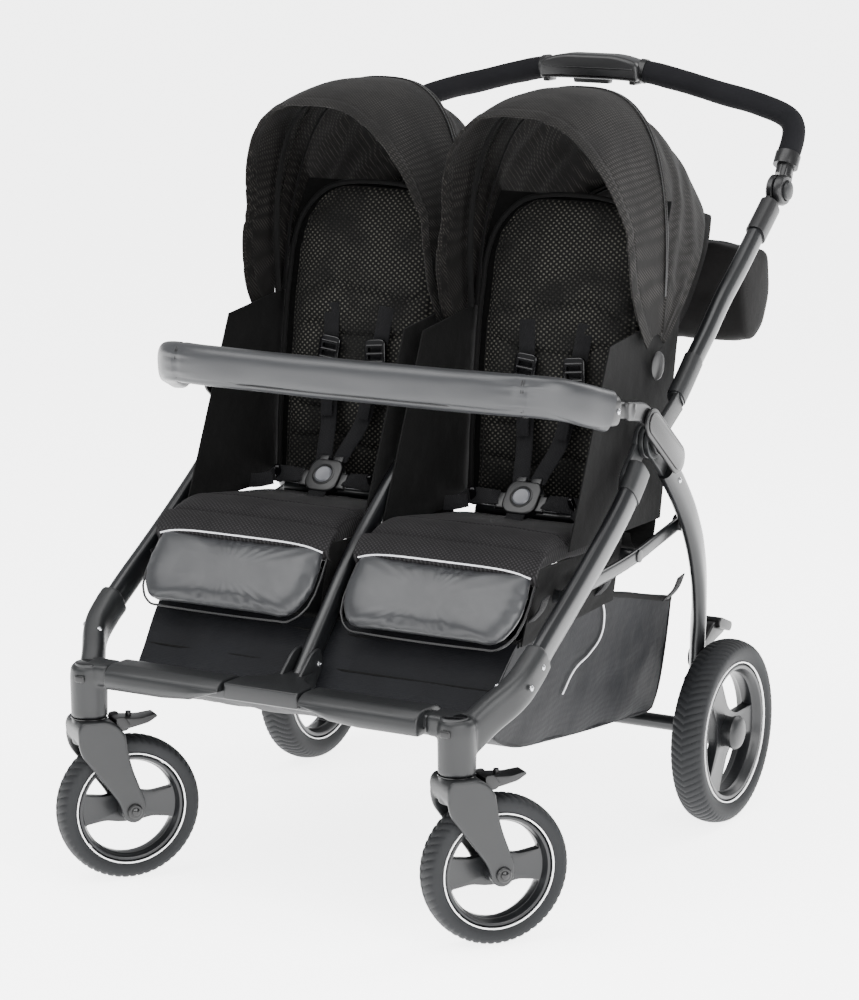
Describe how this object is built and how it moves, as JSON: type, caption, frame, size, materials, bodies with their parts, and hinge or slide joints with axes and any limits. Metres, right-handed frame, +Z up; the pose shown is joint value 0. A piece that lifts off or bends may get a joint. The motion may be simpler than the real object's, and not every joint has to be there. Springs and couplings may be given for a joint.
{
  "type": "side-by-side twin stroller",
  "caption": "Folding side-by-side twin stroller with swivelling front casters, large rear wheels, reclining seats, hoods, bumper bar, basket and a telescoped arched handle.",
  "frame": {"origin": "on the floor, under the middle of the bounding box", "axes": "+Z up, the stroller faces -Y, +X is to the right as seen from in front of it"},
  "size_m": [0.7622, 1.0272, 1.078],
  "materials": {
    "frame_tube": "satin dark charcoal powder coat",
    "moulded_grey": "satin glass-filled nylon",
    "moulded_black": "satin moulded",
    "tyre": "matte tread",
    "rim": "satin gloss moulded",
    "foam": "matte closed-cell foam",
    "leatherette": "soft semi-matte, stitched",
    "seat_fabric": "woven with fine dots",
    "back_mesh": "spacer mesh, quilted",
    "hood_fabric": "plain weave",
    "basket_fabric": "coated polyester",
    "buckle_grey": "satin moulded"
  },
  "bodies": {
    "front_frame": {"front_crossbar": "frame_tube", "centre_bracket": "moulded_grey", "centre_tube": "frame_tube", "centre_hub": "moulded_black", "seat_base_frame": "frame_tube", "basket": "basket_fabric", "rear_pouch": "basket_fabric", "side_tube_left": "frame_tube", "caster_housing_left": "moulded_grey", "foot_tread_left": "moulded_black", "joint_cover_left": "moulded_grey", "seat_left": "seat_fabric", "back_rod_left": "frame_tube", "buckle_left": "moulded_black", "canopy_rear_left": "hood_fabric", "side_tube_right": "frame_tube", "caster_housing_right": "moulded_grey", "foot_tread_right": "moulded_black", "joint_cover_right": "moulded_grey", "seat_right": "seat_fabric", "back_rod_right": "frame_tube", "buckle_right": "moulded_black", "canopy_rear_right": "hood_fabric"},
    "handle": {"handle_tube_left": "frame_tube", "handle_tube_right": "frame_tube"},
    "handle_grip": {"handle_arch": "frame_tube", "grip_housing": "moulded_black", "foam_grip_left": "foam", "foam_grip_right": "foam"},
    "fold_release": {"fold_button": "moulded_grey"},
    "rear_frame": {"rear_axle": "frame_tube", "rear_leg_left": "frame_tube", "rear_leg_right": "frame_tube"},
    "brake": {"brake_pedal": "moulded_black"},
    "bumper": {"bumper_bar": "leatherette", "bumper_arm_left": "moulded_black", "bumper_arm_right": "moulded_black"},
    "caster_left": {"caster_fork_left": "moulded_grey"},
    "caster_lock_left": {"lock_lever_left": "moulded_black"},
    "front_wheel_left": {"front_tyre_left": "tyre", "front_rim_left": "rim"},
    "rear_wheel_left": {"rear_tyre_left": "tyre", "rear_rim_left": "rim"},
    "leg_rest_left": {"calf_pad_left": "leatherette"},
    "backrest_left": {"backrest_left": "back_mesh"},
    "canopy_left": {"canopy_front_left": "hood_fabric"},
    "buckle_release_left": {"buckle_button_left": "buckle_grey"},
    "adjust_release_left": {"adjust_button_left": "moulded_grey"},
    "caster_right": {"caster_fork_right": "moulded_grey"},
    "caster_lock_right": {"lock_lever_right": "moulded_black"},
    "front_wheel_right": {"front_tyre_right": "tyre", "front_rim_right": "rim"},
    "rear_wheel_right": {"rear_tyre_right": "tyre", "rear_rim_right": "rim"},
    "leg_rest_right": {"calf_pad_right": "leatherette"},
    "backrest_right": {"backrest_right": "back_mesh"},
    "canopy_right": {"canopy_front_right": "hood_fabric"},
    "buckle_release_right": {"buckle_button_right": "buckle_grey"},
    "adjust_release_right": {"adjust_button_right": "moulded_grey"}
  },
  "joints": [
    {"name": "handle_fold", "type": "hinge", "parent": "front_frame", "child": "handle", "pos_m": [-0.01014, -0.00937, 0.598], "axis": [1, 0, 0], "range_deg": [0, 134]},
    {"name": "rear_frame_fold", "type": "hinge", "parent": "front_frame", "child": "rear_frame", "pos_m": [-0.01014, -0.00937, 0.598], "axis": [-1, 0, 0], "range_deg": [0, 44.5]},
    {"name": "bumper_fold", "type": "hinge", "parent": "front_frame", "child": "bumper", "pos_m": [-0.01014, -0.00937, 0.598], "axis": [1, 0, 0], "range_deg": [0, 36.5]},
    {"name": "handle_tilt", "type": "hinge", "parent": "handle", "child": "handle_grip", "pos_m": [-0.01014, 0.40663, 0.9], "axis": [-1, 0, 0], "range_deg": [-15, 30]},
    {"name": "fold_button_press", "type": "slide", "parent": "handle_grip", "child": "fold_release", "axis": [0, 0, 1], "range_m": [0, 0.003], "stiffness_N_per_m": 600, "springref_m": -0.002},
    {"name": "brake_press", "type": "hinge", "parent": "rear_frame", "child": "brake", "pos_m": [-0.01014, 0.25763, 0.226], "axis": [-1, 0, 0], "range_deg": [0, 18]},
    {"name": "caster_swivel_left", "type": "hinge", "parent": "front_frame", "child": "caster_left", "pos_m": [-0.29614, -0.46837, 0.233], "axis": [0, 0, 1], "continuous": true},
    {"name": "front_wheel_spin_left", "type": "hinge", "parent": "caster_left", "child": "front_wheel_left", "pos_m": [-0.26382, -0.427, 0.101], "axis": [0.788, -0.6157, 0], "continuous": true},
    {"name": "caster_lock_left", "type": "hinge", "parent": "caster_left", "child": "caster_lock_left", "pos_m": [-0.26782, -0.43213, 0.222], "axis": [0.788, -0.6157, 0], "range_deg": [0, 14]},
    {"name": "rear_wheel_spin_left", "type": "hinge", "parent": "rear_frame", "child": "rear_wheel_left", "pos_m": [-0.01014, 0.22163, 0.134], "axis": [1, 0, 0], "continuous": true},
    {"name": "leg_rest_tilt_left", "type": "hinge", "parent": "front_frame", "child": "leg_rest_left", "pos_m": [-0.01014, -0.26337, 0.45], "axis": [-1, 0, 0], "range_deg": [0, 45]},
    {"name": "backrest_tilt_left", "type": "hinge", "parent": "front_frame", "child": "backrest_left", "pos_m": [-0.01014, 0.03163, 0.466], "axis": [-1, 0, 0], "range_deg": [-30, 36]},
    {"name": "canopy_fold_left", "type": "hinge", "parent": "front_frame", "child": "canopy_left", "pos_m": [-0.01014, 0.05063, 0.692], "axis": [-1, 0, 0], "range_deg": [0, 42]},
    {"name": "buckle_press_left", "type": "slide", "parent": "front_frame", "child": "buckle_release_left", "axis": [0, 0.7431, -0.6691], "range_m": [0, 0.003], "stiffness_N_per_m": 500, "springref_m": -0.002},
    {"name": "adjust_press_left", "type": "slide", "parent": "handle_grip", "child": "adjust_release_left", "axis": [1, 0, 0], "range_m": [0, 0.003], "stiffness_N_per_m": 500, "springref_m": -0.002},
    {"name": "caster_swivel_right", "type": "hinge", "parent": "front_frame", "child": "caster_right", "pos_m": [0.27586, -0.46837, 0.233], "axis": [0, 0, 1], "continuous": true},
    {"name": "front_wheel_spin_right", "type": "hinge", "parent": "caster_right", "child": "front_wheel_right", "pos_m": [0.30818, -0.427, 0.101], "axis": [0.788, -0.6157, 0], "continuous": true},
    {"name": "caster_lock_right", "type": "hinge", "parent": "caster_right", "child": "caster_lock_right", "pos_m": [0.30418, -0.43213, 0.222], "axis": [0.788, -0.6157, 0], "range_deg": [0, 14]},
    {"name": "rear_wheel_spin_right", "type": "hinge", "parent": "rear_frame", "child": "rear_wheel_right", "pos_m": [-0.01014, 0.22163, 0.134], "axis": [1, 0, 0], "continuous": true},
    {"name": "leg_rest_tilt_right", "type": "hinge", "parent": "front_frame", "child": "leg_rest_right", "pos_m": [-0.01014, -0.26337, 0.45], "axis": [-1, 0, 0], "range_deg": [0, 45]},
    {"name": "backrest_tilt_right", "type": "hinge", "parent": "front_frame", "child": "backrest_right", "pos_m": [-0.01014, 0.03163, 0.466], "axis": [-1, 0, 0], "range_deg": [-30, 36]},
    {"name": "canopy_fold_right", "type": "hinge", "parent": "front_frame", "child": "canopy_right", "pos_m": [-0.01014, 0.05063, 0.692], "axis": [-1, 0, 0], "range_deg": [0, 42]},
    {"name": "buckle_press_right", "type": "slide", "parent": "front_frame", "child": "buckle_release_right", "axis": [0, 0.7431, -0.6691], "range_m": [0, 0.003], "stiffness_N_per_m": 500, "springref_m": -0.002},
    {"name": "adjust_press_right", "type": "slide", "parent": "handle_grip", "child": "adjust_release_right", "axis": [-1, 0, 0], "range_m": [0, 0.003], "stiffness_N_per_m": 500, "springref_m": -0.002}
  ],
  "couplings": [
    {"joint": "rear_frame_fold", "follows": "handle_fold", "ratio": 0.32836},
    {"joint": "bumper_fold", "follows": "handle_fold", "ratio": 0.26866}
  ]
}
